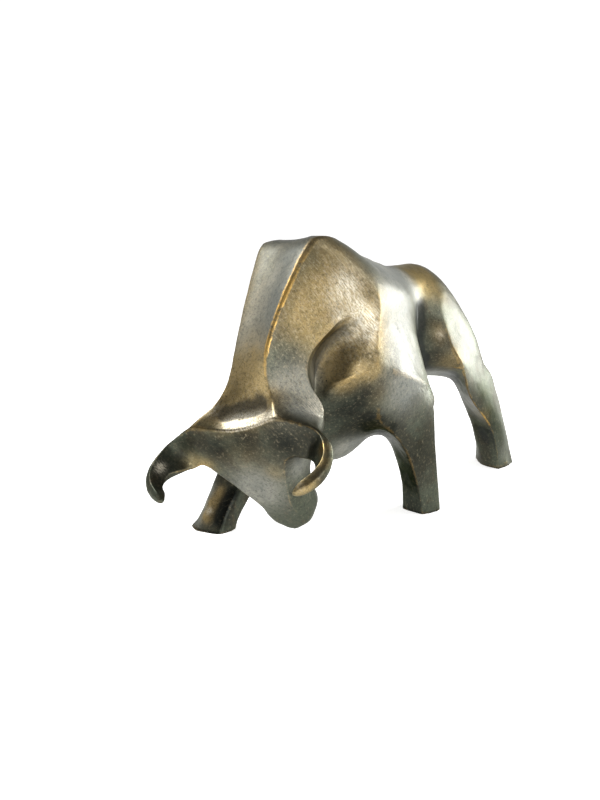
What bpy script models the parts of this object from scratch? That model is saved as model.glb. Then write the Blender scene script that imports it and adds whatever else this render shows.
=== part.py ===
"""A charging bull, cast in bronze as one hollow piece, standing on its four feet.

The bull faces -Y, its left side is +X, and the floor is Z = 0. The form is a net of four-sided faces drawn
through named landmarks. Rings of landmarks run round the body from the rump to the muzzle, and each leg and
horn grows out of the net. The landmarks are shares of HEIGHT, so the whole animal grows with that one size.
"""
import math
from dataclasses import dataclass

import bmesh
import bpy
from mathutils import Matrix, Vector

HEIGHT = 0.150  # floor to the top of the hump

SMOOTHING_LEVELS = 2
FITTING_ROUNDS = 4
FITTING_STEP = 0.85

# The head is built upright in its own frame and then set on the neck.
POLL = Vector((-0.007, -0.780, 0.447))
HEAD_YAW = math.radians(15.0)  # towards the left
HEAD_TUCK = math.radians(25.3)  # chin towards the chest
HEAD_ROLL = math.radians(12.3)  # left horn up

SIGN = {"left": 1.0, "right": -1.0}
LINES = ("spine", "crest", "fold", "hollow", "seam", "flank", "belly", "keel")
PAIRED = LINES[1:-1]
RIGHT_SHARE = {"crest": 1.0, "fold": 0.8, "hollow": 0.5, "seam": 0.3, "flank": 0.0, "belly": 0.0}


@dataclass(frozen=True)
class Ring:
    """Landmarks of one ring: the left half of it, each as (out, back, up) in shares of the height."""

    name: str
    spine: tuple
    crest: tuple
    fold: tuple
    hollow: tuple
    seam: tuple
    flank: tuple
    belly: tuple
    keel: tuple
    right_back: float = 0.0
    right_up: float = 0.0
    right_foot: float = 0.0
    right_width: float = 1.0
    slide: float = 0.0

    def left(self, line):
        """The landmark where a line crosses this ring on the left half."""
        return Vector(getattr(self, line)) + Vector((self.slide, 0.0, 0.0))

    def right(self, line):
        """The same landmark on the right half, moved by the turn of the neck and by the stride."""
        out, back, up = getattr(self, line)
        share = RIGHT_SHARE[line]
        stride = self.right_foot * (1.0 - share)
        width = 1.0 if line == "crest" else self.right_width
        sideways = self.slide - out * width
        return Vector((sideways, back + self.right_back * share + stride, up + self.right_up * share))


BODY = (
    Ring("rump",
         spine=(0.0, 0.560, 0.800), crest=(0.060, 0.565, 0.770), fold=(0.105, 0.575, 0.715),
         hollow=(0.140, 0.610, 0.640), seam=(0.165, 0.650, 0.560), flank=(0.180, 0.692, 0.470),
         belly=(0.080, 0.640, 0.430), keel=(0.0, 0.580, 0.455)),
    Ring("thigh",
         spine=(0.0, 0.460, 0.865), crest=(0.085, 0.460, 0.830), fold=(0.150, 0.455, 0.755),
         hollow=(0.195, 0.470, 0.660), seam=(0.220, 0.495, 0.570), flank=(0.235, 0.530, 0.465),
         belly=(0.075, 0.520, 0.420), keel=(0.0, 0.480, 0.435)),
    Ring("haunch",
         spine=(0.0, 0.350, 0.902), crest=(0.090, 0.365, 0.845), fold=(0.155, 0.300, 0.762),
         hollow=(0.205, 0.268, 0.655), seam=(0.232, 0.285, 0.570), flank=(0.250, 0.334, 0.493),
         belly=(0.130, 0.421, 0.450), keel=(0.0, 0.360, 0.440)),
    Ring("waist",
         spine=(0.0, 0.140, 0.893), crest=(0.080, 0.160, 0.860), fold=(0.125, 0.170, 0.770),
         hollow=(0.138, 0.150, 0.680), seam=(0.143, 0.140, 0.590), flank=(0.130, 0.190, 0.500),
         belly=(0.070, 0.210, 0.465), keel=(0.0, 0.210, 0.455)),
    Ring("elbow",
         spine=(0.0, -0.050, 0.925), crest=(0.100, -0.040, 0.895), fold=(0.190, -0.020, 0.800),
         hollow=(0.200, -0.010, 0.690), seam=(0.262, 0.012, 0.482), flank=(0.268, 0.036, 0.405),
         belly=(0.090, 0.050, 0.410), keel=(0.0, 0.050, 0.400), right_foot=-0.03),
    Ring("ribs",
         spine=(0.0, -0.260, 0.965), crest=(0.115, -0.260, 0.945), fold=(0.225, -0.200, 0.835),
         hollow=(0.242, -0.200, 0.710), seam=(0.294, -0.170, 0.518), flank=(0.297, -0.135, 0.415),
         belly=(0.095, -0.100, 0.335), keel=(0.0, -0.085, 0.262), right_foot=-0.06),
    Ring("shoulder",
         spine=(0.0, -0.465, 0.988), crest=(0.120, -0.481, 1.000), fold=(0.240, -0.363, 0.849),
         hollow=(0.268, -0.383, 0.705), seam=(0.275, -0.384, 0.588), flank=(0.245, -0.320, 0.405),
         belly=(0.135, -0.208, 0.306), keel=(0.0, -0.172, 0.212),
         right_back=0.044, right_up=-0.017, right_foot=-0.06),
    Ring("chest",
         spine=(0.0, -0.562, 0.897), crest=(0.108, -0.612, 0.898), fold=(0.205, -0.470, 0.778),
         hollow=(0.205, -0.435, 0.710), seam=(0.222, -0.468, 0.560), flank=(0.180, -0.388, 0.420),
         belly=(0.085, -0.310, 0.280), keel=(0.0, -0.290, 0.222), right_back=0.078, right_up=0.002),
    Ring("neck",
         spine=(0.0, -0.681, 0.678), crest=(0.080, -0.716, 0.681), fold=(0.160, -0.593, 0.660),
         hollow=(0.130, -0.505, 0.640), seam=(0.140, -0.500, 0.515), flank=(0.120, -0.430, 0.390),
         belly=(0.055, -0.400, 0.310), keel=(0.0, -0.385, 0.285), right_back=0.053, right_up=-0.004,
         right_width=0.95),
    Ring("nape",
         spine=(0.0, -0.715, 0.539), crest=(0.085, -0.711, 0.547), fold=(0.165, -0.603, 0.545),
         hollow=(0.125, -0.530, 0.525), seam=(0.105, -0.505, 0.470), flank=(0.080, -0.490, 0.430),
         belly=(0.040, -0.475, 0.400), keel=(0.0, -0.470, 0.390), right_back=-0.009, right_up=-0.018,
         right_width=0.78),
)

# In the head's own frame a landmark is (out, down the nose, forward of the face).
HEAD = (
    Ring("poll",
         spine=(0.0, 0.030, 0.0), crest=(0.154, 0.0, 0.0), fold=(0.230, 0.108, -0.134),
         hollow=(0.170, 0.120, -0.196), seam=(0.135, 0.140, -0.212), flank=(0.095, 0.160, -0.220),
         belly=(0.050, 0.175, -0.224), keel=(0.0, 0.180, -0.225), right_width=0.72),
    Ring("brow",
         spine=(0.0, 0.165, 0.004), crest=(0.134, 0.165, 0.0), fold=(0.193, 0.190, -0.095),
         hollow=(0.165, 0.215, -0.145), seam=(0.105, 0.235, -0.170), flank=(0.070, 0.250, -0.188),
         belly=(0.035, 0.258, -0.195), keel=(0.0, 0.260, -0.196), right_width=0.85, slide=-0.018),
    Ring("nose",
         spine=(0.0, 0.340, 0.003), crest=(0.054, 0.338, 0.0), fold=(0.081, 0.325, -0.055),
         hollow=(0.091, 0.330, -0.115), seam=(0.061, 0.325, -0.145), flank=(0.041, 0.330, -0.168),
         belly=(0.020, 0.332, -0.178), keel=(0.0, 0.333, -0.180), right_width=0.60, slide=0.018),
    Ring("lip",
         spine=(0.0, 0.450, -0.026), crest=(0.038, 0.450, -0.030), fold=(0.062, 0.450, -0.052),
         hollow=(0.064, 0.448, -0.090), seam=(0.062, 0.448, -0.135), flank=(0.044, 0.446, -0.150),
         belly=(0.024, 0.444, -0.156), keel=(0.0, 0.444, -0.158), right_width=0.50, slide=0.023),
)

LEG_CORNERS = ("front_out", "mid_out", "rear_out", "rear_in", "mid_in", "front_in")


@dataclass(frozen=True)
class Joint:
    """One ring of a leg, as the (out, back, up) of its six corners in shares of the height."""

    front_out: tuple
    mid_out: tuple
    rear_out: tuple
    rear_in: tuple
    mid_in: tuple
    front_in: tuple


@dataclass(frozen=True)
class Leg:
    """A leg: the rings of the body that it hangs from, front to rear, and its own rings down to the sole."""

    side: str
    roots: tuple
    joints: tuple


FORE_ROOTS = ("shoulder", "ribs", "elbow")
HIND_ROOTS = ("haunch", "thigh", "rump")

LEGS = (
    Leg("left", FORE_ROOTS, (
        Joint((0.254, -0.160, 0.280), (0.282, -0.050, 0.290), (0.278, 0.035, 0.290),
              (0.160, 0.060, 0.280), (0.128, 0.000, 0.270), (0.145, -0.065, 0.262)),
        Joint((0.262, -0.055, 0.105), (0.284, 0.005, 0.105), (0.286, 0.060, 0.105),
              (0.200, 0.085, 0.105), (0.165, 0.050, 0.105), (0.162, 0.004, 0.105)),
        Joint((0.268, -0.030, 0.0), (0.292, 0.015, 0.0), (0.293, 0.070, 0.0),
              (0.210, 0.100, 0.0), (0.166, 0.060, 0.0), (0.180, -0.010, 0.0)),
    )),
    Leg("right", FORE_ROOTS, (
        Joint((0.270, -0.480, 0.260), (0.300, -0.420, 0.270), (0.285, -0.330, 0.280),
              (0.160, -0.310, 0.270), (0.140, -0.370, 0.255), (0.165, -0.440, 0.250)),
        Joint((0.285, -0.572, 0.100), (0.312, -0.540, 0.100), (0.285, -0.480, 0.100),
              (0.200, -0.465, 0.095), (0.188, -0.505, 0.095), (0.205, -0.555, 0.100)),
        Joint((0.290, -0.634, 0.0), (0.336, -0.605, 0.0), (0.312, -0.552, 0.0),
              (0.215, -0.540, 0.0), (0.194, -0.570, 0.0), (0.210, -0.618, 0.0)),
    )),
    Leg("left", HIND_ROOTS, (
        Joint((0.256, 0.410, 0.360), (0.262, 0.590, 0.350), (0.205, 0.785, 0.365),
              (0.115, 0.750, 0.370), (0.095, 0.640, 0.370), (0.143, 0.530, 0.375)),
        Joint((0.265, 0.630, 0.195), (0.272, 0.730, 0.190), (0.240, 0.830, 0.185),
              (0.160, 0.820, 0.190), (0.130, 0.760, 0.190), (0.152, 0.680, 0.195)),
        Joint((0.272, 0.712, 0.0), (0.284, 0.790, 0.0), (0.270, 0.880, 0.0),
              (0.160, 0.905, 0.0), (0.110, 0.850, 0.0), (0.190, 0.735, 0.0)),
    )),
    Leg("right", HIND_ROOTS, (
        Joint((0.250, 0.425, 0.360), (0.258, 0.600, 0.350), (0.212, 0.780, 0.365),
              (0.130, 0.750, 0.370), (0.108, 0.650, 0.370), (0.143, 0.540, 0.375)),
        Joint((0.262, 0.670, 0.190), (0.272, 0.765, 0.185), (0.244, 0.850, 0.180),
              (0.172, 0.840, 0.185), (0.145, 0.780, 0.190), (0.160, 0.715, 0.190)),
        Joint((0.268, 0.765, 0.0), (0.282, 0.840, 0.0), (0.266, 0.915, 0.0),
              (0.178, 0.925, 0.0), (0.150, 0.860, 0.0), (0.190, 0.780, 0.0)),
    )),
)

# The horn leaves the mask sideways and curls round an arc, forward and in. Its inner face is a blade
# between an upper rim and a lower rim, and its back is round. HORN_ROOT is in the head's own frame.
HORN_ROOT = ((0.245, 0.045, 0.000), (0.195, 0.150, 0.012), (0.225, 0.160, -0.040), (0.253, 0.078, -0.030))
HORN_ARC_OUT = {"left": 0.211, "right": 0.200}
HORN_ARC_FORWARD = 0.092
HORN_START = math.radians(-33.0)
HORN_END = {"left": math.radians(76.0), "right": math.radians(66.0)}


@dataclass(frozen=True)
class HornEdge:
    """One long edge of the horn: its distances from the arc's centre, root to tip, and its drop."""

    radii: tuple
    drop_root: float
    drop_tip: float


HORN_EDGES = (
    HornEdge(radii=(0.097, 0.096, 0.088, 0.090), drop_root=0.063, drop_tip=0.118),
    HornEdge(radii=(0.048, 0.057, 0.065, 0.074), drop_root=0.118, drop_tip=0.138),
    HornEdge(radii=(0.072, 0.085, 0.099, 0.095), drop_root=0.140, drop_tip=0.148),
    HornEdge(radii=(0.117, 0.119, 0.110, 0.104), drop_root=0.091, drop_tip=0.130),
)

TAIL_STANDS_OUT = 0.045
TAIL_EDGE = 0.80

# How sharp each line of the net stays, from 0 (smooth) to 1 (a hard edge).
RIDGES = (
    ("crest", ("shoulder", "chest", "neck", "nape", "poll"), 0.80),
    ("crest", ("ribs", "shoulder"), 0.45),
    ("crest", ("brow", "nose", "lip"), 0.55),
    ("fold", ("chest", "neck", "nape", "poll"), 0.65),
    ("fold", ("brow", "nose"), 0.30),
    ("hollow", ("neck", "nape"), 0.50),
    ("seam", ("elbow", "ribs", "shoulder"), 0.70),
    ("seam", ("shoulder", "chest", "neck"), 0.60),
    ("flank", ("shoulder", "chest"), 0.30),
)
HOOPS = (
    ("shoulder", ("fold", "hollow", "seam", "flank"), 0.85),
    ("elbow", ("hollow", "seam", "flank"), 0.50),
    ("haunch", ("crest", "fold", "hollow", "seam", "flank"), 0.60),
    ("waist", ("fold", "hollow", "seam", "flank"), 0.45),
    ("poll", ("spine", "crest"), 0.95),
    ("nose", ("spine", "crest"), 0.55),
)
LEG_RIDGE = 0.75
LEG_EDGE = 0.35
SOLE_EDGE = 1.0
HORN_EDGE = 0.85


def clear_scene():
    """Remove every object of the open scene."""
    for thing in list(bpy.data.objects):
        bpy.data.objects.remove(thing, do_unlink=True)


def head_matrix():
    """Turn the head's own frame (out, down the nose, forward) into the bull's frame."""
    axes = Matrix(((1.0, 0.0, 0.0), (0.0, 0.0, -1.0), (0.0, -1.0, 0.0)))
    roll = Matrix.Rotation(-HEAD_ROLL, 3, "Y")
    tuck = Matrix.Rotation(HEAD_TUCK, 3, "X")
    yaw = Matrix.Rotation(HEAD_YAW, 3, "Z")
    return Matrix.Translation(POLL) @ (yaw @ tuck @ roll @ axes).to_4x4()


class Net:
    """The control net: named points, its faces, and how sharp its edges are."""

    def __init__(self):
        self.points = []
        self.faces = []
        self.sharp = {}

    def point(self, place):
        """Add a point and return its number."""
        self.points.append(Vector(place))
        return len(self.points) - 1

    def face(self, corners):
        """Add a face from the numbers of its corners."""
        self.faces.append(tuple(corners))

    def edge(self, first, second, sharpness):
        """Say how sharp one edge is."""
        self.sharp[tuple(sorted((first, second)))] = sharpness

    def bridge(self, upper, lower):
        """Join two rings of equal count with four-sided faces."""
        count = len(upper)
        for i in range(count):
            after = (i + 1) % count
            self.face((upper[i], lower[i], lower[after], upper[after]))


def build_trunk(net):
    """Draw the rings from rump to muzzle and return their points by ring, side and line."""
    place = head_matrix()
    table = {}
    for ring in BODY + HEAD:
        frame = place if ring in HEAD else Matrix.Identity(4)
        for line in LINES:
            left = net.point(frame @ ring.left(line))
            table[ring.name, "left", line] = left
            paired = line in PAIRED
            table[ring.name, "right", line] = net.point(frame @ ring.right(line)) if paired else left
    return table


def open_cells():
    """The cells of the trunk that are left open for the legs and the horns."""
    cells = set()
    for leg in LEGS:
        front, middle, rear = leg.roots
        cells.add((rear, middle, leg.side, "flank"))
        cells.add((middle, front, leg.side, "flank"))
    for side in ("left", "right"):
        cells.add(("poll", "brow", side, "crest"))
    return cells


def skin_trunk(net, table):
    """Cover the trunk with faces, leaving the cells of the legs and the horns open."""
    left_open = open_cells()
    names = [ring.name for ring in BODY + HEAD]
    for rear, front in zip(names, names[1:]):
        for side in ("left", "right"):
            for upper, lower in zip(LINES, LINES[1:]):
                if (rear, front, side, upper) in left_open:
                    continue
                corners = (table[rear, side, upper], table[front, side, upper],
                           table[front, side, lower], table[rear, side, lower])
                net.face(corners)


def close_rump(net, table):
    """Close the rump with a middle row of points that stands out as the tail."""
    lines = PAIRED
    middle = []
    for line in lines:
        left = net.points[table["rump", "left", line]]
        right = net.points[table["rump", "right", line]]
        centre = (left + right) / 2.0
        middle.append(net.point(centre + Vector((0.0, TAIL_STANDS_OUT, 0.0))))
    spine = table["rump", "left", "spine"]
    keel = table["rump", "left", "keel"]
    left = [table["rump", "left", line] for line in lines]
    right = [table["rump", "right", line] for line in lines]
    net.face((spine, left[0], middle[0], right[0]))
    for i in range(len(lines) - 1):
        net.face((middle[i], left[i], left[i + 1], middle[i + 1]))
        net.face((right[i], middle[i], middle[i + 1], right[i + 1]))
        net.edge(middle[i], middle[i + 1], TAIL_EDGE)
    net.face((middle[-1], left[-1], keel, right[-1]))


def close_muzzle(net, table):
    """Close the end of the muzzle straight across from left to right."""
    left = [table["lip", "left", line] for line in LINES]
    right = [table["lip", "right", line] for line in LINES]
    net.face((left[0], right[1], left[1]))
    for i in range(1, len(LINES) - 2):
        net.face((left[i], right[i], right[i + 1], left[i + 1]))
    net.face((left[-2], right[-2], left[-1]))


def grow_leg(net, table, leg):
    """Grow one leg from its open cells down to a flat sole."""
    front, middle, rear = leg.roots
    side = leg.side
    root = [table[front, side, "flank"], table[middle, side, "flank"], table[rear, side, "flank"],
            table[rear, side, "belly"], table[middle, side, "belly"], table[front, side, "belly"]]
    above = root
    for joint in leg.joints:
        ring = []
        for corner in LEG_CORNERS:
            out, back, up = getattr(joint, corner)
            ring.append(net.point((SIGN[side] * out, back, up)))
        net.bridge(above, ring)
        net.edge(above[0], ring[0], LEG_RIDGE)
        for i in (2, 5):
            net.edge(above[i], ring[i], LEG_EDGE)
        above = ring
    for i in range(len(above)):
        net.edge(above[i], above[(i + 1) % len(above)], SOLE_EDGE)
    net.face((above[0], above[5], above[4], above[1]))
    net.face((above[1], above[4], above[3], above[2]))


def blend(start, end, share):
    """The value a share of the way from start to end."""
    return start + (end - start) * share


def horn_ring(step, side):
    """The four corners of one ring of the horn: upper rim, lower rim, lower back, upper back."""
    steps = len(HORN_EDGES[0].radii) - 1
    angle = blend(HORN_START, HORN_END[side], step / steps)
    places = []
    for edge in HORN_EDGES:
        out = HORN_ARC_OUT[side] + edge.radii[step] * math.cos(angle)
        drop = blend(edge.drop_root, edge.drop_tip, step / steps)
        forward = HORN_ARC_FORWARD + edge.radii[step] * math.sin(angle)
        places.append((out, drop, forward))
    return places


def grow_horn(net, table, side):
    """Grow one horn from the open cell between the poll and the brow."""
    place = head_matrix()
    above = [table["poll", side, "crest"], table["brow", side, "crest"],
             table["brow", side, "fold"], table["poll", side, "fold"]]
    rings = [HORN_ROOT] + [horn_ring(step, side) for step in range(len(HORN_EDGES[0].radii))]
    for corners in rings:
        ring = []
        for out, drop, forward in corners:
            ring.append(net.point(place @ Vector((SIGN[side] * out, drop, forward))))
        net.bridge(above, ring)
        for rim in (0, 1):
            net.edge(above[rim], ring[rim], HORN_EDGE)
        above = ring
    net.face(above)


def mark_ridges(net, table):
    """Mark the sharp lines that run along the body and round it."""
    for line, names, sharpness in RIDGES:
        for side in ("left", "right"):
            for first, second in zip(names, names[1:]):
                net.edge(table[first, side, line], table[second, side, line], sharpness)
    for name, lines, sharpness in HOOPS:
        for side in ("left", "right"):
            for upper, lower in zip(lines, lines[1:]):
                net.edge(table[name, side, upper], table[name, side, lower], sharpness)


def bronze():
    """Dark brown bronze with a worn golden sheen."""
    material = bpy.data.materials.new("patinated_bronze")
    material.use_nodes = True
    shader = material.node_tree.nodes["Principled BSDF"]
    shader.inputs["Base Color"].default_value = (0.115, 0.088, 0.052, 1.0)
    shader.inputs["Metallic"].default_value = 0.85
    shader.inputs["Roughness"].default_value = 0.42
    return material


def turn_faces_out(mesh):
    """Point every face of a closed mesh outwards."""
    shell = bmesh.new()
    shell.from_mesh(mesh)
    bmesh.ops.recalc_face_normals(shell, faces=shell.faces)
    shell.to_mesh(mesh)
    shell.free()
    mesh.update()


def mesh_object(net):
    """Make the net into one object with its smoothing modifier and its sharp edges."""
    mesh = bpy.data.meshes.new("bull")
    mesh.from_pydata([tuple(point * HEIGHT) for point in net.points], [], net.faces)
    turn_faces_out(mesh)
    crease = mesh.attributes.new("crease_edge", "FLOAT", "EDGE")
    for edge in mesh.edges:
        crease.data[edge.index].value = net.sharp.get(tuple(sorted(edge.vertices)), 0.0)
    bull = bpy.data.objects.new("bull", mesh)
    bpy.context.scene.collection.objects.link(bull)
    mesh.materials.append(bronze())
    smoothing = bull.modifiers.new("smoothing", "SUBSURF")
    smoothing.levels = SMOOTHING_LEVELS
    smoothing.render_levels = SMOOTHING_LEVELS
    return bull


def fit_to_landmarks(bull):
    """Move the net out until the smoothed skin passes through the landmarks."""
    goals = [vertex.co.copy() for vertex in bull.data.vertices]
    for _ in range(FITTING_ROUNDS):
        bpy.context.view_layer.update()
        smooth = bull.evaluated_get(bpy.context.evaluated_depsgraph_get()).to_mesh()
        reached = [smooth.vertices[i].co.copy() for i in range(len(goals))]
        for vertex, goal, place in zip(bull.data.vertices, goals, reached):
            vertex.co += (goal - place) * FITTING_STEP
        bull.data.update()


def centre_on_floor(bull):
    """Shift the mesh so that the middle of its box, on the floor, is the origin."""
    bpy.context.view_layer.update()
    smooth = bull.evaluated_get(bpy.context.evaluated_depsgraph_get()).to_mesh()
    places = [vertex.co for vertex in smooth.vertices]
    lowest = Vector(min(place[i] for place in places) for i in range(3))
    highest = Vector(max(place[i] for place in places) for i in range(3))
    middle = (lowest + highest) / 2.0
    bull.data.transform(Matrix.Translation((-middle.x, -middle.y, -lowest.z)))


def main():
    """Build the bull."""
    clear_scene()
    net = Net()
    table = build_trunk(net)
    skin_trunk(net, table)
    close_rump(net, table)
    close_muzzle(net, table)
    for leg in LEGS:
        grow_leg(net, table, leg)
    for side in ("left", "right"):
        grow_horn(net, table, side)
    mark_ridges(net, table)
    bull = mesh_object(net)
    fit_to_landmarks(bull)
    centre_on_floor(bull)
    bull.data.shade_smooth()


main()
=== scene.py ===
"""The looks of a charging bull, cast in bronze in one piece, standing on a plain pale studio floor."""

import logging
import math
from dataclasses import dataclass
from enum import Enum

import bmesh
import bpy
import numpy as np
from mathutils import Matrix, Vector, noise


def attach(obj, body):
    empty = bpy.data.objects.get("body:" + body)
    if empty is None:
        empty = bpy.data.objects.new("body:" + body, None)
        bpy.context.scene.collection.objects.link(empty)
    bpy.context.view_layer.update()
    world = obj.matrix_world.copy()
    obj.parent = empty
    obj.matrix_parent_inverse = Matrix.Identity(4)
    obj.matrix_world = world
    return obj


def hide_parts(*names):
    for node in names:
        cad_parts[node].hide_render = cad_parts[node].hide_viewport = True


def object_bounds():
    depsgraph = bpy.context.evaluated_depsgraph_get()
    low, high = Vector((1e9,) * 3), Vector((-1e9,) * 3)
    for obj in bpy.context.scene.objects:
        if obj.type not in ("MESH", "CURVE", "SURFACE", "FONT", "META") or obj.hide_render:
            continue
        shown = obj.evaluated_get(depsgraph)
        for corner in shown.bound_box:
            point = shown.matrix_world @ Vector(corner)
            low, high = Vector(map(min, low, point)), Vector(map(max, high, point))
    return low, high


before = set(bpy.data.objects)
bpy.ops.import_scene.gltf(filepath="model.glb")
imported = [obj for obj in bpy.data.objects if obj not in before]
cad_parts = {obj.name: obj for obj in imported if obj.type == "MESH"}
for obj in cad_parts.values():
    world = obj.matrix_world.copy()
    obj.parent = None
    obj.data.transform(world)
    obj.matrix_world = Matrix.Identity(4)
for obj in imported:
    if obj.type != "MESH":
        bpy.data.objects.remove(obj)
CAD_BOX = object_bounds()

LOG = logging.getLogger("bull")
HEIGHT = 0.150  # floor to the top of the hump, the unit of the places that are given as shares
MILLIMETRE = 0.001
FACING_FROM = 0.45  # a patch starts to show where the surface is turned this far to its side, as a cosine
FACING_FULL = 0.85  # and shows in full from here on
NEAR_SIDE_FROM = 0.1  # a facing patch further out to the left than this has a twin on the right

Share = tuple[float, float, float]
Colour = tuple[float, float, float]
Span = tuple[float, float]


def at(share: Share) -> np.ndarray:
    """The point in metres for a place given in shares of the height: out to the left, back, up."""
    return np.array(share) * HEIGHT


def smoothstep(low: float, high: float, values: np.ndarray) -> np.ndarray:
    """Rise smoothly from 0 at low to 1 at high."""
    share = np.clip((values - low) / (high - low), 0.0, 1.0)
    return share * share * (3.0 - 2.0 * share)


def nearest_point(points: np.ndarray, place: np.ndarray) -> np.ndarray:
    """The one of the points that lies nearest to a place."""
    return points[np.argmin(np.linalg.norm(points - place, axis=1))]


class Wire:
    """A shader socket on which sums are written as on a number."""

    def __init__(self, graph: "Graph", socket: bpy.types.NodeSocket) -> None:
        """Hold a socket of the graph."""
        self.graph = graph
        self.socket = socket

    def __add__(self, other: "Wire | float") -> "Wire":
        """The sum."""
        return self.graph.math("ADD", self, other)

    __radd__ = __add__

    def __sub__(self, other: "Wire | float") -> "Wire":
        """The difference."""
        return self.graph.math("SUBTRACT", self, other)

    def __rsub__(self, other: float) -> "Wire":
        """The difference from a number."""
        return self.graph.math("SUBTRACT", other, self)

    def __mul__(self, other: "Wire | float") -> "Wire":
        """The product."""
        return self.graph.math("MULTIPLY", self, other)

    __rmul__ = __mul__

    def clamped(self) -> "Wire":
        """The value held between 0 and 1."""
        return self.graph.math("ADD", self, 0.0, clamp=True)

    def between(self, low: float, high: float) -> "Wire":
        """Rise smoothly from 0 at low to 1 at high.

        Args:
            low: The value at which the result leaves 0, above high for a fall.
            high: The value at which it reaches 1.

        Returns:
            The result.
        """
        values = {"Value": self, "From Min": low, "From Max": high}
        node = self.graph.node("ShaderNodeMapRange", {"interpolation_type": "SMOOTHSTEP"}, values)
        return Wire(self.graph, node.outputs["Result"])


class Graph:
    """The nodes of one material or world."""

    def __init__(self, tree: bpy.types.NodeTree) -> None:
        """Hold an emptied node tree."""
        self.tree = tree
        tree.nodes.clear()

    def node(self, kind: str, settings: dict | None = None, values: dict | None = None) -> bpy.types.Node:
        """Add any node.

        Args:
            kind: The node's type.
            settings: Its own settings, by name.
            values: The number, colour or Wire for each input, by name or by index.

        Returns:
            The new node.
        """
        node = self.tree.nodes.new(kind)
        for name, setting in (settings or {}).items():
            setattr(node, name, setting)
        for name, value in (values or {}).items():
            if isinstance(value, Wire):
                self.tree.links.new(value.socket, node.inputs[name])
            else:
                node.inputs[name].default_value = value
        return node

    def math(self, operation: str, *values: "Wire | float", clamp: bool = False) -> Wire:
        """Add a Math node.

        Args:
            operation: What it does, such as ADD.
            values: The numbers or Wires that it takes.
            clamp: Whether the result is held between 0 and 1.

        Returns:
            The result.
        """
        settings = {"operation": operation, "use_clamp": clamp}
        node = self.node("ShaderNodeMath", settings, dict(enumerate(values)))
        return Wire(self, node.outputs[0])

    def mix(self, factor: "Wire | float", first: "Wire | Colour", second: "Wire | Colour") -> Wire:
        """Blend two colours.

        Args:
            factor: How much of the second colour shows, from 0 to 1.
            first: The colour at 0.
            second: The colour at 1.

        Returns:
            The blended colour.
        """
        ends = [value if isinstance(value, Wire) else (*value, 1.0) for value in (first, second)]
        values = {0: factor, 6: ends[0], 7: ends[1]}
        node = self.node("ShaderNodeMix", {"data_type": "RGBA"}, values)
        return Wire(self, node.outputs[2])

    def attribute(self, name: str) -> Wire:
        """Read a number that the mesh carries at each point."""
        return Wire(self, self.node("ShaderNodeAttribute", {"attribute_name": name}).outputs["Fac"])

    def place(self, turn: Share = (0.0, 0.0, 0.0), stretch: Share = (1.0, 1.0, 1.0)) -> Wire:
        """The point in metres on the object, turned and stretched.

        Args:
            turn: The angles about the three axes, in radians.
            stretch: How many times longer a pattern gets along each turned axis.

        Returns:
            The point, for a pattern to read.
        """
        point = self.node("ShaderNodeTexCoord").outputs["Object"]
        values = {"Vector": Wire(self, point), "Rotation": turn, "Scale": stretch}
        return Wire(self, self.node("ShaderNodeMapping", {"vector_type": "TEXTURE"}, values).outputs[0])

    def noise(self, grain: float, detail: float, rough: float, place: Wire | None = None) -> Wire:
        """Add soft noise.

        Args:
            grain: How far across its spots are, in metres.
            detail: How many finer layers it has.
            rough: How strong the finer layers are.
            place: The point to read it at, where it isn't the plain one.

        Returns:
            The noise, from 0 to 1.
        """
        point = place or self.place()
        values = {"Vector": point, "Scale": 1.0 / grain, "Detail": detail, "Roughness": rough}
        return Wire(self, self.node("ShaderNodeTexNoise", None, values).outputs["Fac"])

    def pits(self, spacing: float) -> Wire:
        """The distance to the nearest of many scattered points, in shares of their spacing."""
        values = {"Vector": self.place(), "Scale": 1.0 / spacing}
        return Wire(self, self.node("ShaderNodeTexVoronoi", None, values).outputs["Distance"])


class Mark(Enum):
    """What the mesh tells the finish at each point."""

    EDGE = "edge"
    RECESS = "recess"
    GILT = "gilt"
    GOLD = "gold"
    # pale dried patina, partly painted reflection
    PALE = "pale"
    # painted shade
    DARK = "dark"
    # painted highlights: silver glints where the lamps are mirrored
    SILVER = "highlight_silver"
    BRUSHED = "brushed"


@dataclass(frozen=True)
class Patch:
    """A soft round patch of the surface, on the side that faces a given way."""

    centre: Share
    radius: float
    amount: float
    facing: Share | None = None

    def reach(self, points: np.ndarray, normals: np.ndarray) -> np.ndarray:
        """How strongly each point is inside the patch.

        Args:
            points: The surface's points in metres.
            normals: The outward direction at each of them.

        Returns:
            A number for each point, from 0 to the patch's amount.
        """
        far = np.linalg.norm(points - at(self.centre), axis=1) / (self.radius * HEIGHT)
        inside = self.amount * np.exp(-far * far)
        if self.facing is None:
            return inside
        way = np.array(self.facing) / np.linalg.norm(self.facing)
        return inside * smoothstep(FACING_FROM, FACING_FULL, normals @ way)

    @property
    def is_near_side(self) -> bool:
        """Whether the patch is on the bull's left side alone, so that its right side has one like it."""
        return self.facing is not None and self.centre[0] > NEAR_SIDE_FROM

    def mirrored(self, share: float) -> "Patch":
        """The patch on the other side of the body, weaker by a share."""
        (x, y, z), (out, back, up) = self.centre, self.facing
        return Patch((-x, y, z), self.radius, self.amount * share, (-out, back, up))


NECK_SIDE = (0.78, -0.58, 0.10)
SHOULDER_FACE = (0.73, -0.68, 0.08)
BACK_PLANE = (0.0, -0.84, 0.54)
OUTER_SIDE = (0.95, 0.10, 0.10)
FRONT = (0.0, -1.0, 0.0)
MASK = (0.24, -0.88, -0.42)
POLL_SCOOP = (0.04, -0.68, 0.73)

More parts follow.
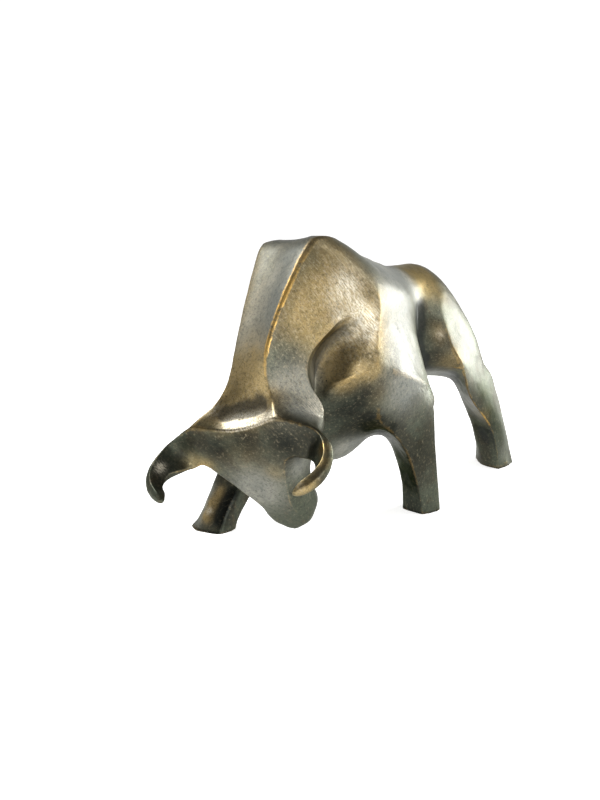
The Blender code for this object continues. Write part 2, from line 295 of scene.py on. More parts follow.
PATCHES: dict[Mark, tuple[Patch, ...]] = {
    Mark.GILT: (
        # The ridge down the neck, the horns, and the ridges of the hind leg
        Patch((0.107, -0.606, 0.910), 0.055, 0.7),
        Patch((0.100, -0.663, 0.828), 0.070, 1.0),
        Patch((0.090, -0.701, 0.738), 0.070, 1.0),
        Patch((0.080, -0.718, 0.640), 0.060, 0.7),
        Patch((0.302, -0.790, 0.400), 0.090, 0.9),
        Patch((0.281, -0.848, 0.312), 0.050, 1.0),
        Patch((-0.189, -0.763, 0.292), 0.060, 0.5),
        Patch((0.252, 0.540, 0.260), 0.090, 0.5),
        Patch((0.230, 0.330, 0.480), 0.060, 0.3),
    ),
    Mark.GOLD: (
        # The neck's side, the shoulder and the fold between them
        Patch((0.150, -0.545, 0.790), 0.110, 0.70, NECK_SIDE),
        Patch((0.119, -0.607, 0.765), 0.090, 0.55, NECK_SIDE),
        Patch((0.160, -0.490, 0.900), 0.120, 0.60, (0.85, -0.35, 0.35)),
        Patch((0.238, -0.405, 0.741), 0.110, 0.80, SHOULDER_FACE),
        Patch((0.200, -0.460, 0.640), 0.050, 0.60),
        Patch((0.180, -0.460, 0.680), 0.100, 2.20),
        # The ledge and the edge at the top of the foreleg
        Patch((0.258, -0.410, 0.582), 0.034, 1.20),
        Patch((0.20, -0.48, 0.56), 0.045, 1.40),
        Patch((0.250, -0.370, 0.490), 0.045, 0.35),
        Patch((0.226, -0.293, 0.380), 0.040, 0.25),
        # The low end of the dorsal plane
        Patch((0.015, -0.710, 0.590), 0.110, 0.90, BACK_PLANE),
        Patch((-0.010, -0.735, 0.520), 0.110, 1.30, BACK_PLANE),
        Patch((-0.060, -0.745, 0.500), 0.070, 0.90, BACK_PLANE),
        # The rump and the thigh
        Patch((0.090, 0.290, 0.830), 0.080, 1.10),
        Patch((0.035, 0.265, 0.885), 0.080, 1.40),
        Patch((0.185, 0.225, 0.640), 0.045, 0.50),
        Patch((0.213, 0.290, 0.532), 0.050, 0.45),
        # The face and the horns
        Patch((0.079, -0.682, 0.280), 0.030, 0.35, MASK),
        Patch((-0.013, -0.741, 0.354), 0.080, 0.20, MASK),
        Patch((-0.189, -0.763, 0.292), 0.035, 0.60),
        Patch((0.281, -0.848, 0.312), 0.035, 0.90),
        Patch((0.30, -0.76, 0.41), 0.020, 1.10),
        Patch((0.32, -0.79, 0.38), 0.020, 1.10),
        Patch((0.312, -0.832, 0.320), 0.024, 0.60),
        Patch((-0.150, -0.738, 0.280), 0.030, 0.70),
        # The hind leg and the right foreleg
        Patch((0.252, 0.540, 0.260), 0.045, 0.35),
        Patch((-0.274, -0.603, 0.050), 0.022, 1.60),
        Patch((-0.268, -0.580, 0.090), 0.022, 1.60),
        Patch((-0.258, -0.556, 0.125), 0.020, 1.20),
    ),
    # Pale dried patina, partly painted reflection of the white floor and surroundings: the dorsal plane,
    # the low neck, the flank, the haunch, the face's lower part and the belly
    Mark.PALE: (
        # The dorsal plane
        Patch((-0.060, -0.560, 0.860), 0.170, 0.65, BACK_PLANE),
        Patch((-0.060, -0.640, 0.700), 0.120, 0.55, BACK_PLANE),
        Patch((0.062, -0.585, 0.910), 0.050, 2.20, BACK_PLANE),
        Patch((0.045, -0.640, 0.790), 0.070, 1.60, BACK_PLANE),
        Patch((0.015, -0.680, 0.700), 0.080, 0.90, BACK_PLANE),
        # The low part of the neck's side
        Patch((0.130, -0.650, 0.545), 0.085, 1.30, NECK_SIDE),
        Patch((0.160, -0.640, 0.480), 0.050, 2.00),
        Patch((0.125, -0.520, 0.590), 0.055, 1.60),
        # The flank, the foreleg, the haunch, the back and the hind foot
        Patch((0.264, -0.200, 0.690), 0.190, 1.10, OUTER_SIDE),
        Patch((0.283, -0.240, 0.490), 0.080, 0.80, OUTER_SIDE),
        Patch((0.215, 0.380, 0.650), 0.130, 0.30, OUTER_SIDE),
        Patch((0.235, 0.490, 0.480), 0.080, 0.20, OUTER_SIDE),
        Patch((0.115, 0.100, 0.840), 0.080, 2.00),
        Patch((0.080, -0.150, 0.900), 0.140, 1.60),
        Patch((0.273, 0.740, 0.080), 0.050, 0.30, OUTER_SIDE),
        # The face and the cheek
        Patch((0.000, -0.668, 0.215), 0.080, 1.40, MASK),
        Patch((0.110, -0.615, 0.300), 0.045, 0.90),
        # The right foreleg and the belly
        Patch((-0.312, -0.610, 0.035), 0.032, 0.80),
        Patch((-0.300, -0.585, 0.085), 0.028, 0.80),
        Patch((-0.294, -0.555, 0.125), 0.026, 0.80),
        Patch((0.100, -0.290, 0.285), 0.070, 1.10),
    ),
    # Painted shade, darker where the surface faces forward or down or lies in a hollow: the neck and
    # shoulder, the chest, the leg fronts, the face's top, the haunch's front plane, the hind leg and the
    # feet
    Mark.DARK: (
        # The neck and the shoulder
        Patch((0.120, -0.660, 0.645), 0.045, 0.70, NECK_SIDE),
        Patch((0.204, -0.454, 0.618), 0.030, 0.25, SHOULDER_FACE),
        Patch((0.250, -0.415, 0.632), 0.032, 0.75, SHOULDER_FACE),
        Patch((0.268, -0.330, 0.640), 0.030, 0.30, OUTER_SIDE),
        Patch((0.280, -0.300, 0.570), 0.035, 0.30, OUTER_SIDE),
        # The chest and the left foreleg
        Patch((0.180, -0.430, 0.490), 0.085, 0.70),
        Patch((0.245, -0.390, 0.500), 0.060, 0.55),
        Patch((0.150, -0.400, 0.380), 0.090, 0.60),
        Patch((0.240, -0.290, 0.370), 0.070, 2.00, (0.3, -0.6, -0.7)),
        Patch((0.215, -0.100, 0.200), 0.190, 1.40, FRONT),
        Patch((0.278, -0.090, 0.240), 0.140, 0.65, OUTER_SIDE),
        # The face and the horns
        Patch((-0.092, -0.767, 0.350), 0.050, 0.90, MASK),
        Patch((0.010, -0.765, 0.390), 0.070, 0.95, MASK),
        Patch((0.140, -0.715, 0.390), 0.055, 0.90),
        Patch((-0.230, -0.830, 0.300), 0.080, 0.35),
        Patch((0.250, -0.730, 0.405), 0.060, 0.70, (-0.3, -0.9, -0.4)),
        # The haunch's front plane and the hind leg
        Patch((0.120, 0.170, 0.640), 0.070, 0.45, (0.9, -0.4, 0.0)),
        Patch((0.180, 0.210, 0.570), 0.070, 0.55, (0.75, -0.6, -0.28)),
        Patch((0.258, 0.500, 0.385), 0.085, 0.55, OUTER_SIDE),
        Patch((0.262, 0.590, 0.290), 0.085, 0.45, OUTER_SIDE),
        Patch((0.264, 0.640, 0.210), 0.080, 0.50, OUTER_SIDE),
        Patch((0.273, 0.720, 0.120), 0.080, 0.50, OUTER_SIDE),
        Patch((0.190, 0.640, 0.180), 0.110, 1.00, FRONT),
        # The right foreleg and the left fore foot
        Patch((-0.228, -0.595, 0.045), 0.030, 1.30),
        Patch((-0.222, -0.575, 0.085), 0.028, 1.30),
        Patch((-0.212, -0.550, 0.125), 0.028, 1.30),
        Patch((0.230, 0.000, 0.000), 0.050, 0.60),
    ),
    # Painted highlights, silver glints where the lamps are mirrored: the neck's side, the shoulder, a
    # bright line over the poll, the horns, the low neck, the right foreleg and the thigh
    Mark.SILVER: (
        # The neck's side and the shoulder
        Patch((0.195, -0.465, 0.850), 0.045, 1.10, NECK_SIDE),
        Patch((0.182, -0.505, 0.807), 0.035, 0.35, NECK_SIDE),
        Patch((0.215, -0.438, 0.780), 0.028, 1.20),
        Patch((0.190, -0.500, 0.750), 0.024, 0.90),
        Patch((0.200, -0.450, 0.695), 0.030, 0.50, SHOULDER_FACE),
        Patch((0.236, -0.407, 0.745), 0.042, 1.20, SHOULDER_FACE),
        Patch((0.243, -0.400, 0.700), 0.030, 0.70, SHOULDER_FACE),
        # The line over the poll
        Patch((-0.020, -0.764, 0.440), 0.038, 1.60, POLL_SCOOP),
        Patch((0.025, -0.760, 0.446), 0.038, 1.80, POLL_SCOOP),
        Patch((0.070, -0.757, 0.460), 0.034, 1.60, POLL_SCOOP),
        Patch((0.105, -0.754, 0.474), 0.024, 1.00, POLL_SCOOP),
        # The horns, the low neck, the right foreleg and the thigh
        Patch((-0.25, -0.85, 0.285), 0.015, 1.60),
        Patch((0.160, -0.600, 0.480), 0.040, 0.60),
        Patch((0.284, -0.846, 0.318), 0.014, 0.30),
        Patch((-0.276, -0.595, 0.065), 0.012, 0.80),
        Patch((0.19, 0.23, 0.635), 0.018, 0.30),
    ),
    Mark.BRUSHED: (
        # The neck's side, the shoulder, the low neck, the dorsal plane and the flank
        Patch((0.150, -0.540, 0.830), 0.190, 1.0, NECK_SIDE),
        Patch((0.230, -0.410, 0.710), 0.130, 1.0, SHOULDER_FACE),
        Patch((0.130, -0.670, 0.530), 0.100, 0.7, NECK_SIDE),
        Patch((0.020, -0.740, 0.480), 0.100, 0.8, BACK_PLANE),
        Patch((0.264, -0.200, 0.700), 0.160, 0.6, OUTER_SIDE),
    ),
}


@dataclass(frozen=True)
class Stroke:
    """A tool's pass over the wax: a soft-edged furrow, or a raised line, along points of the surface."""

    path: tuple[Share, ...]
    width: float
    height: float

    def reach(self, points: np.ndarray) -> np.ndarray:
        """How far the stroke moves each point out, along a path that is first dropped onto the surface.

        Args:
            points: The surface's points in metres.

        Returns:
            Metres for each point, below zero for a furrow.
        """
        corners = [nearest_point(points, at(share)) for share in self.path]
        nearest = np.full(len(points), np.inf)
        for first, last in zip(corners, corners[1:]):
            run = last - first
            share = np.clip((points - first) @ run / (run @ run), 0.0, 1.0)
            away = points - first - share[:, None] * run
            nearest = np.minimum(nearest, np.linalg.norm(away, axis=1))
        return self.height * np.exp(-((nearest / self.width) ** 2))


POLL_FURROW = Stroke(
    ((-0.06, -0.76, 0.47), (0.00, -0.74, 0.48), (0.03, -0.74, 0.49), (0.055, -0.735, 0.50)),
    width=6.5 * MILLIMETRE, height=-2.50 * MILLIMETRE,
)
FLANK_CREASE = Stroke(
    ((0.24, -0.21, 0.70), (0.25, -0.16, 0.64), (0.26, -0.13, 0.57)),
    width=0.9 * MILLIMETRE, height=-0.30 * MILLIMETRE,
)
HIND_LEG_SLOT = Stroke(
    ((0.25, 0.64, 0.18), (0.25, 0.69, 0.09)),
    width=1.2 * MILLIMETRE, height=-0.70 * MILLIMETRE,
)
SHOULDER_CURL = Stroke(
    ((0.24, -0.40, 0.80), (0.21, -0.45, 0.77), (0.18, -0.53, 0.73)),
    width=2.0 * MILLIMETRE, height=0.35 * MILLIMETRE,
)
FORELEG_LEDGE = Stroke(
    ((0.28, -0.31, 0.57), (0.28, -0.20, 0.54), (0.27, -0.05, 0.49)),
    width=2.4 * MILLIMETRE, height=0.60 * MILLIMETRE,
)
STROKES = (POLL_FURROW, FLANK_CREASE, HIND_LEG_SLOT, SHOULDER_CURL, FORELEG_LEDGE)


class Skin:
    """A mesh as arrays: its points, its edges and the smoothing that the tools share."""

    def __init__(self, mesh: bpy.types.Mesh) -> None:
        """Read a mesh.

        Args:
            mesh: The mesh, which `write` changes later.
        """
        self.mesh = mesh
        count = len(mesh.vertices)
        flat = np.empty(count * 3)
        mesh.vertices.foreach_get("co", flat)
        self.points = flat.reshape(-1, 3)
        ends = np.empty(len(mesh.edges) * 2, dtype=np.int64)
        mesh.edges.foreach_get("vertices", ends)
        ends = ends.reshape(-1, 2)
        self.start = np.concatenate([ends[:, 0], ends[:, 1]])
        self.end = np.concatenate([ends[:, 1], ends[:, 0]])
        self.degree = np.bincount(self.start, minlength=count).astype(float)

    def around(self, values: np.ndarray) -> np.ndarray:
        """The mean of each point's neighbours."""
        total = np.bincount(self.start, weights=values[self.end], minlength=len(values))
        return total / self.degree

    def relaxed(self, values: np.ndarray, rounds: int) -> np.ndarray:
        """Smooth values over the surface.

        Args:
            values: One or three numbers for each point.
            rounds: How many times each point goes halfway to the mean of its neighbours.

        Returns:
            The smoothed values, in the same shape.
        """
        result = np.array(values, dtype=float)
        columns = result.reshape(len(result), -1)
        for _ in range(rounds):
            for i in range(columns.shape[1]):
                columns[:, i] = (columns[:, i] + self.around(columns[:, i])) / 2.0
        return result

    def normals(self) -> np.ndarray:
        """Work out which way the surface faces.

        Returns:
            The outward direction at each point.
        """
        self.write()
        flat = np.empty(len(self.points) * 3)
        self.mesh.vertices.foreach_get("normal", flat)
        return flat.reshape(-1, 3)

    def write(self) -> None:
        """Put the points back into the mesh."""
        self.mesh.vertices.foreach_set("co", self.points.ravel())
        self.mesh.update()

    def mark(self, name: Mark, values: np.ndarray) -> None:
        """Store a number at each point for the finish to read."""
        layer = self.mesh.attributes.new(name.value, "FLOAT", "POINT")
        layer.data.foreach_set("value", np.clip(values, 0.0, 1.0))


@dataclass
class Casting:
    """The bronze's form: the solid's own, made smooth, with the unevenness of cast and worked metal."""

    node: str = "bull"
    weld: float = MILLIMETRE / 1000.0
    quad_angle: float = math.radians(50.0)
    levels: int = 2
    fit_rounds: int = 2
    soft_angle: float = math.radians(12.0)
    hard_angle: float = math.radians(30.0)
    ridge_crease: float = 0.55
    sole_crease: float = 0.45
    on_floor: float = MILLIMETRE / 10.0
    waviness: float = 0.22 * MILLIMETRE
    wave_length: float = 11.0 * MILLIMETRE
    wave_layers: int = 3
    wave_fading: float = 1.0
    wave_step: float = 2.0
    dimples: float = 0.07 * MILLIMETRE
    dimple_length: float = 3.2 * MILLIMETRE
    floor_fade: float = 3.0 * MILLIMETRE
    sole_depth: float = 0.8 * MILLIMETRE
    sole_facing: float = -0.8
    edge_rounds: int = 4
    edge_blur: int = 1
    edge_full: float = 0.14 * MILLIMETRE
    recess_rounds: int = 60
    recess_full: float = 0.60 * MILLIMETRE
    # height up the feet over which the painted contact shade fades out
    sole_shade: float = 1.6 * MILLIMETRE
    far_share: float = 0.6

    def read_node(self) -> bpy.types.Mesh:
        """Copy the solid's mesh, weld it and turn its triangles back into four-sided faces.

        Returns:
            The net that the casting is smoothed from.
        """
        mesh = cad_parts[self.node].data.copy()
        mesh.name = "bull_casting"
        work = bmesh.new()
        work.from_mesh(mesh)
        bmesh.ops.remove_doubles(work, verts=work.verts, dist=self.weld)
        bmesh.ops.join_triangles(work, faces=work.faces, angle_face_threshold=self.quad_angle,
                                 angle_shape_threshold=math.pi)
        for layer in list(work.loops.layers.uv.values()):
            work.loops.layers.uv.remove(layer)
        self.mark_ridges(work)
        work.to_mesh(mesh)
        LOG.info("net: %d faces, %d of them triangles", len(mesh.polygons),
                 sum(len(face.vertices) == 3 for face in mesh.polygons))
        work.free()
        return mesh

    def mark_ridges(self, work: bmesh.types.BMesh) -> None:
        """Keep the edges where two planes meet crisp, and round the rest.

        Args:
            work: The net, whose edges get their creases.
        """
        layer = work.edges.layers.float.get("crease_edge") or work.edges.layers.float.new("crease_edge")
        for edge in work.edges:
            angle = edge.calc_face_angle(0.0)
            share = smoothstep(self.soft_angle, self.hard_angle, np.array(angle))
            edge[layer] = float(share) * self.ridge_crease
            is_low = all(vertex.co.z < self.on_floor for vertex in edge.verts)
            if is_low and angle > self.hard_angle:
                edge[layer] = self.sole_crease

    def refine(self, mesh: bpy.types.Mesh) -> bpy.types.Object:
        """Subdivide the net so that the smooth surface still passes through the solid's corners.

        Args:
            mesh: The net with its creases.

        Returns:
            The casting with its fine mesh.
        """
        casting = bpy.data.objects.new("bull_casting", mesh)
        bpy.context.scene.collection.objects.link(casting)
        smoothing = casting.modifiers.new("smoothing", "SUBSURF")
        smoothing.levels = self.levels
        smoothing.render_levels = self.levels
        goals = np.array([vertex.co for vertex in mesh.vertices])
        for _ in range(self.fit_rounds):
            reached = self.evaluated(casting)[: len(goals)]
            now = np.array([vertex.co for vertex in mesh.vertices])
            mesh.vertices.foreach_set("co", (now + goals - reached).ravel())
            mesh.update()
        bpy.context.view_layer.update()
        graph = bpy.context.evaluated_depsgraph_get()
        fine = bpy.data.meshes.new_from_object(casting.evaluated_get(graph))
        casting.modifiers.clear()
        casting.data = fine
        fine.name = "bull_casting"
        return casting

    def evaluated(self, casting: bpy.types.Object) -> np.ndarray:
        """Read the subdivided surface.

        Args:
            casting: The casting with its net and its smoothing.

        Returns:
            The surface's points, the net's own corners first.
        """
        bpy.context.view_layer.update()
        smooth = casting.evaluated_get(bpy.context.evaluated_depsgraph_get()).to_mesh()
        return np.array([vertex.co for vertex in smooth.vertices])

    def carve(self, skin: Skin) -> None:
        """Add the strokes that are too fine for the solid.

        Args:
            skin: The casting's surface.
        """
        normals = skin.normals()
        depth = sum(stroke.reach(skin.points) for stroke in STROKES)
        skin.points += normals * depth[:, None]
        skin.write()

    def roughen(self, skin: Skin) -> None:
        """Give the planes the slight waves and dimples of wax worked by hand.

        Args:
            skin: The casting's surface.
        """
        normals = skin.normals()
        fade = smoothstep(0.0, self.floor_fade, skin.points[:, 2])
        kind = (self.wave_fading, self.wave_step, self.wave_layers)
        waves = np.array([noise.fractal(Vector(point / self.wave_length), *kind) for point in skin.points])
        spots = np.array([noise.noise(Vector(point / self.dimple_length)) for point in skin.points])
        depth = (waves * self.waviness + spots * self.dimples) * fade
        skin.points += normals * depth[:, None]
        skin.write()

    def settle(self, skin: Skin) -> None:
        """Keep the casting inside the solid's box, with its soles flat on the floor.

        Args:
            skin: The casting's surface.
        """
        low, high = (np.array(corner) for corner in CAD_BOX)
        skin.points = np.clip(skin.points, low, high)
        sole = (skin.normals()[:, 2] < self.sole_facing) & (skin.points[:, 2] < self.sole_depth)
        skin.points[sole, 2] = 0.0
        skin.write()

    def mark_wear(self, skin: Skin) -> None:
        """Work out where edges are worn, where dirt stays, where brushes have been, where the patina is
        pale, partly as painted reflection, and where shade and highlights are painted.

        Args:
            skin: The casting's surface, which carries the marks from here on.
        """
        normals = skin.normals()
        fine, broad = (
            np.einsum("ij,ij->i", skin.points - skin.relaxed(skin.points, rounds), normals)
            for rounds in (self.edge_rounds, self.recess_rounds)
        )
        skin.mark(Mark.EDGE, skin.relaxed(fine / self.edge_full, self.edge_blur))
        skin.mark(Mark.RECESS, -broad / self.recess_full)
        for mark, patches in PATCHES.items():
            far = [patch.mirrored(self.far_share) for patch in patches if patch.is_near_side]
            reach = sum(patch.reach(skin.points, normals) for patch in (*patches, *far))
            if mark is Mark.DARK:
                # painted contact shade: darker towards the soles, where the feet meet the floor
                reach = reach + 1.0 - smoothstep(0.0, self.sole_shade, skin.points[:, 2])
            skin.mark(mark, reach)

    def build(self) -> bpy.types.Object:
        """Make the whole casting.

        Returns:
            The casting, ready for its finish.
        """
        casting = self.refine(self.read_node())
        skin = Skin(casting.data)
        self.carve(skin)
        self.roughen(skin)
        self.settle(skin)
        self.mark_wear(skin)
        casting.data.shade_smooth()
        return casting


@dataclass(frozen=True)
class Bronze:
    """Bronze under a dark brown and olive patina, grey where it has dried and where a reflection of the
    floor and surroundings is painted, golden where it is worn, with painted shade and painted highlights.
    """

    brown: Colour = (0.040, 0.038, 0.024)
    olive: Colour = (0.068, 0.077, 0.053)
    russet: Colour = (0.082, 0.062, 0.036)
    # the pale patina's colours, partly painted reflection
    grey: Colour = (0.230, 0.228, 0.192)
    slate: Colour = (0.148, 0.156, 0.138)
    ochre: Colour = (0.305, 0.224, 0.097)
    straw: Colour = (0.420, 0.360, 0.240)
    gilt: Colour = (0.640, 0.390, 0.100)
    # the colour of the painted highlights
    highlight_silver: Colour = (0.720, 0.660, 0.520)
    # near-black, for the painted shade and also for dirt, specks and pits
    soot_and_shade: Colour = (0.0140, 0.0158, 0.0150)
    cloud_size: float = 28.0 * MILLIMETRE
    mottle_size: float = 6.5 * MILLIMETRE
    fleck_size: float = 1.5 * MILLIMETRE
    grain: float = 0.55 * MILLIMETRE
    veil_size: float = 2.2 * MILLIMETRE
    pit_spacing: float = 4.2 * MILLIMETRE
    streak_length: float = 7.0
    veil_length: float = 14.0
    streak_turn: Share = (0.0, math.radians(46.0), math.radians(39.0))
    olive_clouds: Span = (0.42, 0.60)
    grey_clouds: Span = (0.38, 0.62)
    russet_mottle: Span = (0.52, 0.72)
    dark_specks: Span = (0.50, 0.36)
    light_flecks: Span = (0.54, 0.68)
    scratches: Span = (0.50, 0.66)
    # the streaks that break up the painted highlights
    highlight_streaks: Span = (0.40, 0.58)
    bright_edges: Span = (0.70, 1.10)
    dirty_hollows: Span = (0.25, 0.95)
    pit_rim: Span = (0.05, 0.13)
    pit_places: Span = (0.52, 0.62)
    bump_strength: float = 0.8
    bump_depth: float = 0.10 * MILLIMETRE
    specular: float = 0.3
    specular_tint: Colour = (0.39, 0.40, 0.37)
    wax: float = 0.14
    wax_roughness: float = 0.28

    def material(self) -> bpy.types.Material:
        """Build the finish.

        Returns:
            The material.
        """
        material = bpy.data.materials.new("patinated_bronze")
        material.use_nodes = True
        graph = Graph(material.node_tree)
        pattern = Pattern(graph, self)
        wear = Wear(graph, self, pattern)
        bump = graph.node("ShaderNodeBump", None, {
            "Strength": self.bump_strength,
            "Distance": self.bump_depth,
            "Height": self.relief(pattern, wear),
        })
        shader = graph.node("ShaderNodeBsdfPrincipled", None, {
            "Base Color": self.colour(graph, pattern, wear),
            "Metallic": self.metallic(wear),
            "Roughness": self.roughness(pattern, wear),
            "Specular IOR Level": self.specular,
            "Specular Tint": (*self.specular_tint, 1.0),
            "Coat Weight": (self.wax * (1.0 - wear.shade_amount)).clamped(),
            "Coat Roughness": self.wax_roughness,
            "Normal": Wire(graph, bump.outputs["Normal"]),
        })
        graph.node("ShaderNodeOutputMaterial", None, {"Surface": Wire(graph, shader.outputs["BSDF"])})
        return material

    def colour(self, graph: Graph, pattern: "Pattern", wear: "Wear") -> Wire:
        """Lay the colours over each other, from the patina up to the dirt, with the painted reflection,
        shade and highlights among them.

        Args:
            graph: The nodes of the finish.
            pattern: Its patterns.
            wear: Its wear.

        Returns:
            The base colour.
        """
        patina = graph.mix(pattern.clouds.between(*self.olive_clouds), self.brown, self.olive)
        pale_layer = graph.mix(pattern.clouds.between(*self.grey_clouds), self.slate, self.grey)
        scratched = pattern.streaks.between(*self.scratches) * (wear.brushed * 0.40 + 0.03)
        specked = pattern.speckle.between(*self.dark_specks) * (wear.brushed * 0.10 + 0.22)
        flecked = pattern.fleck.between(*self.light_flecks) * (wear.brushed * 0.40 + 0.20)
        layers = (
            (pattern.mottle.between(*self.russet_mottle) * 0.5, self.russet),
            # pale dried patina, partly painted reflection
            (wear.dust_and_reflection, pale_layer),
            (wear.worn * (pattern.speckle * 0.8 + 0.5), self.ochre),
            (scratched, self.straw),
            # painted shade
            (wear.shade_amount * 0.85, self.soot_and_shade),
            # painted highlights
            (wear.highlight_amount, self.highlight_silver),
            (specked, self.soot_and_shade),
            (pattern.fleck.between(*self.dark_specks) * 0.42, self.soot_and_shade),
            (flecked, self.straw),
            (wear.gilded, self.gilt),
            (wear.dirt * 0.75, self.soot_and_shade),
            (pattern.pitted, self.soot_and_shade),
        )
        base = patina
        for amount, layer in layers:
            base = graph.mix(amount.clamped(), base, layer)
        return base

    def metallic(self, wear: "Wear") -> Wire:
        """Bare where it is worn and under the painted shade, and covered where it is dirty or pale, the
        pale being dried patina and painted reflection.
        """
        covered = 0.74 - 0.30 * wear.dust_and_reflection - 0.20 * wear.dirt
        return (covered + 0.25 * wear.worn + 0.2 * wear.gilded + 0.26 * wear.shade_amount).clamped()

    def roughness(self, pattern: "Pattern", wear: "Wear") -> Wire:
        """Satin, duller where it is dirty or pale, the pale being dried patina and painted reflection, and
        smoother where it is worn and under the painted shade.

        Args:
            pattern: The finish's patterns.
            wear: Its wear.

        Returns:
            The roughness.
        """
        satin = 0.40 + 0.14 * (pattern.speckle - 0.5) + 0.12 * (pattern.mottle - 0.5)
        duller = 0.08 * wear.dust_and_reflection + 0.12 * wear.dirt
        smoother = 0.06 * wear.worn + 0.10 * wear.gilded + 0.06 * wear.shade_amount
        return (satin + duller - smoother).clamped()

    def relief(self, pattern: "Pattern", wear: "Wear") -> Wire:
        """Work out the fine unevenness, which the brush has made stronger.

        Args:
            pattern: The finish's patterns.
            wear: Its wear.

        Returns:
            The height for the bump.
        """
        grain = pattern.speckle * (wear.brushed * 1.2 + 0.35) + pattern.fleck * (wear.brushed * 0.6 + 0.9)
        strokes = pattern.streaks * (wear.brushed * 1.3 + 0.15)
        return grain + strokes + pattern.mottle * 0.5 - pattern.pitted * 0.6


class Pattern:
    """The patterns of the finish over the surface, from broad clouds to fine grain."""

    def __init__(self, graph: Graph, bronze: Bronze) -> None:
        """Add each pattern's noise.

        Args:
            graph: The nodes of the finish.
            bronze: The finish, which gives the sizes.
        """
        short = graph.place(bronze.streak_turn, (bronze.streak_length, 1.0, 1.0))
        long = graph.place(bronze.streak_turn, (bronze.veil_length, 1.0, 1.0))
        self.clouds = graph.noise(bronze.cloud_size, detail=4.0, rough=0.6)
        self.mottle = graph.noise(bronze.mottle_size, detail=6.0, rough=0.65)
        self.speckle = graph.noise(bronze.grain, detail=3.0, rough=0.6)
        self.fleck = graph.noise(bronze.fleck_size, detail=5.0, rough=0.75)
        self.streaks = graph.noise(bronze.grain, detail=2.0, rough=0.5, place=short)
        self.veil = graph.noise(bronze.veil_size, detail=3.0, rough=0.6, place=long)
        inside = 1.0 - graph.pits(bronze.pit_spacing).between(*bronze.pit_rim)
        self.pitted = inside * self.mottle.between(*bronze.pit_places)


class Wear:
    """How far each change has gone at each point, from 0 to 1, with its edges broken by the patterns."""

    def __init__(self, graph: Graph, bronze: Bronze, pattern: Pattern) -> None:
        """Read the mesh's marks and break them up.

        Args:
            graph: The nodes of the finish.
            bronze: The finish, which gives the limits.
            pattern: Its patterns.
        """
        marks = {mark: graph.attribute(mark.value) for mark in Mark}
        blotches = pattern.mottle * 1.2 + 0.40
        chipped = pattern.mottle + pattern.fleck * 0.8 + 0.05
        bared = (marks[Mark.EDGE] * chipped).between(*bronze.bright_edges)
        gilding = (marks[Mark.GILT] * 0.80 + 0.10) * (pattern.fleck * 0.9 + 0.45)
        pale_layer = pattern.mottle * 0.8 + pattern.veil * 0.9 + 0.15
        strokes = pattern.streaks.between(*bronze.highlight_streaks) * 0.75 + 0.30
        self.brushed = marks[Mark.BRUSHED]
        self.worn = (marks[Mark.GOLD] * blotches).clamped()
        self.gilded = (bared * gilding).clamped()
        self.dirt = (marks[Mark.RECESS] * (pattern.mottle + 0.5)).between(*bronze.dirty_hollows)
        # pale dried patina, partly painted reflection
        self.dust_and_reflection = (marks[Mark.PALE] * pale_layer).clamped()
        # painted shade, broken into blotches
        self.shade_amount = (marks[Mark.DARK] * blotches).clamped()
        # painted highlights, broken into streaks
        self.highlight_amount = (marks[Mark.SILVER] * strokes).clamped()


@dataclass(frozen=True)
class SoftBox:
    """A square white studio lamp, aimed at the bull."""

    name: str
    place: Share
    size: float
    power: float


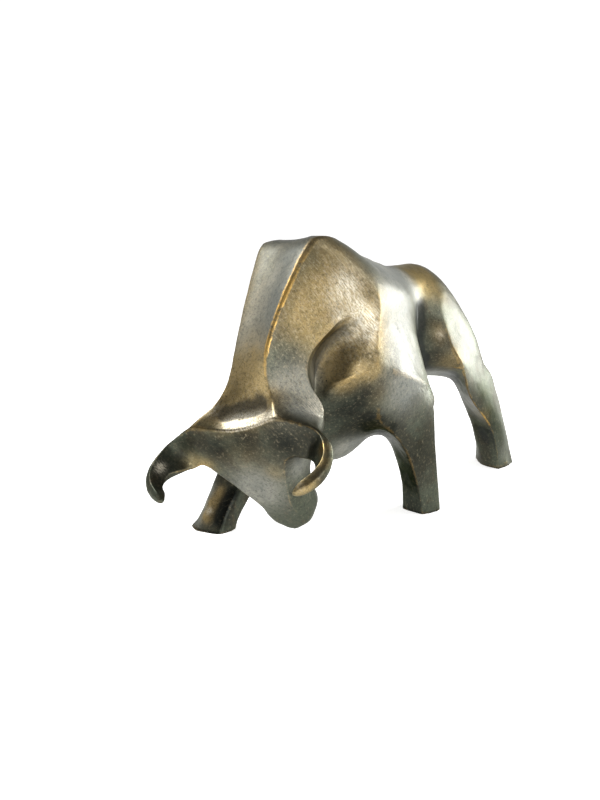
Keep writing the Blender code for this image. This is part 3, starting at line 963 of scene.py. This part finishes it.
@dataclass
class Studio:
    """The floor, the lamps, the white surroundings and the camera."""

    floor_size: float = 6.0
    floor_colour: Colour = (0.90, 0.90, 0.89)
    floor_roughness: float = 0.9
    floor_glow: float = 0.86
    bull_middle: Share = (0.0, -0.10, 0.50)
    camera_place: Share = (1.5071, -2.5899, 0.9742)
    camera_turn: float = math.radians(35.0)
    camera_dip: float = math.radians(11.0)
    lens: float = 36.0
    sensor: float = 36.0
    nearest: float = 0.01
    paper_turn: float = math.radians(15.0)
    paper_level: float = 0.95
    paper_side: Span = (0.10, 0.80)
    paper_top: Span = (0.25, 0.95)
    wall_way: Share = (-0.94, -0.05, 0.35)
    wall_level: float = 0.55
    wall_side: Span = (0.30, 0.95)
    room_level: float = 0.11
    seen_level: float = 1.1
    boxes: tuple[SoftBox, ...] = (
        SoftBox("key", (1.8, 5.2, 1.4), 0.34, 7.0),
        SoftBox("side_front", (4.3, -2.5, 1.0), 0.22, 1.5),
        SoftBox("side_back", (5.0, 0.6, 2.0), 0.22, 0.6),
        SoftBox("top_left", (-2.6, -1.3, 4.4), 0.40, 5.0),
        SoftBox("high_side", (2.8, 2.2, 3.8), 0.30, 1.1),
    )

    def build_floor(self) -> bpy.types.Object:
        """Lay the floor.

        Returns:
            The floor.
        """
        half = self.floor_size / 2.0
        mesh = bpy.data.meshes.new("floor")
        corners = [(-half, -half, 0.0), (half, -half, 0.0), (half, half, 0.0), (-half, half, 0.0)]
        mesh.from_pydata(corners, [], [(0, 1, 2, 3)])
        floor = bpy.data.objects.new("floor", mesh)
        bpy.context.scene.collection.objects.link(floor)
        material = bpy.data.materials.new("white_paper")
        material.use_nodes = True
        graph = Graph(material.node_tree)
        shader = graph.node("ShaderNodeBsdfPrincipled", None, {
            "Base Color": (*self.floor_colour, 1.0),
            "Roughness": self.floor_roughness,
            "Emission Color": (*self.floor_colour, 1.0),
            "Emission Strength": self.floor_glow,
        })
        graph.node("ShaderNodeOutputMaterial", None, {"Surface": Wire(graph, shader.outputs["BSDF"])})
        mesh.materials.append(material)
        return floor

    def build_lamp(self, box: SoftBox) -> None:
        """Hang one lamp and aim it at the bull.

        Args:
            box: The lamp.
        """
        light = bpy.data.lights.new(box.name, "AREA")
        light.size = box.size
        light.energy = box.power
        lamp = bpy.data.objects.new(box.name, light)
        lamp.location = at(box.place)
        aim = Vector(at(self.bull_middle)) - lamp.location
        lamp.rotation_euler = aim.to_track_quat("-Z", "Y").to_euler()
        bpy.context.scene.collection.objects.link(lamp)

    def build_surroundings(self) -> None:
        """Make the room: white paper behind the bull, a light wall on its right and a dark front."""
        world = bpy.data.worlds.new("white_room")
        bpy.context.scene.world = world
        world.use_nodes = True
        graph = Graph(world.node_tree)
        way = Wire(graph, graph.node("ShaderNodeTexCoord").outputs["Generated"])
        axes = graph.node("ShaderNodeSeparateXYZ", None, {0: way})
        across, away, up = (Wire(graph, axes.outputs[i]) for i in range(3))
        behind = across * math.sin(self.paper_turn) + away * math.cos(self.paper_turn)
        paper = behind.between(*self.paper_side) * (1.0 - up.between(*self.paper_top))
        towards_wall = across * self.wall_way[0] + away * self.wall_way[1] + up * self.wall_way[2]
        wall = towards_wall.between(*self.wall_side)
        level = self.room_level + paper * self.paper_level + wall * self.wall_level
        seen = Wire(graph, graph.node("ShaderNodeLightPath").outputs["Is Camera Ray"])
        strength = graph.math("MAXIMUM", level, seen * self.seen_level)
        values = {"Color": (1.0, 1.0, 1.0, 1.0), "Strength": strength}
        background = graph.node("ShaderNodeBackground", None, values)
        graph.node("ShaderNodeOutputWorld", None, {"Surface": Wire(graph, background.outputs[0])})

    def build_camera(self) -> None:
        """Set the camera at the photograph's view."""
        data = bpy.data.cameras.new("camera")
        data.lens = self.lens
        data.sensor_width = self.sensor
        data.clip_start = self.nearest
        camera = bpy.data.objects.new("camera", data)
        camera.location = at(self.camera_place)
        camera.rotation_euler = (math.pi / 2.0 - self.camera_dip, 0.0, self.camera_turn)
        bpy.context.scene.collection.objects.link(camera)
        bpy.context.scene.camera = camera

    def build(self) -> bpy.types.Object:
        """Set up the whole studio.

        Returns:
            The floor.
        """
        bpy.context.scene.view_settings.view_transform = "Standard"
        self.build_surroundings()
        for box in self.boxes:
            self.build_lamp(box)
        self.build_camera()
        return self.build_floor()


def main() -> None:
    """Build the casting and the studio around the frame."""
    logging.basicConfig(level=logging.INFO, format="%(name)s: %(message)s")
    casting = Casting().build()
    casting.data.materials.clear()
    casting.data.materials.append(Bronze().material())
    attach(casting, "root")
    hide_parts("bull")
    LOG.info("casting: %d faces", len(casting.data.polygons))
    floor = Studio().build()
    LOG.info("studio ready")


if __name__ == "__main__":
    main()
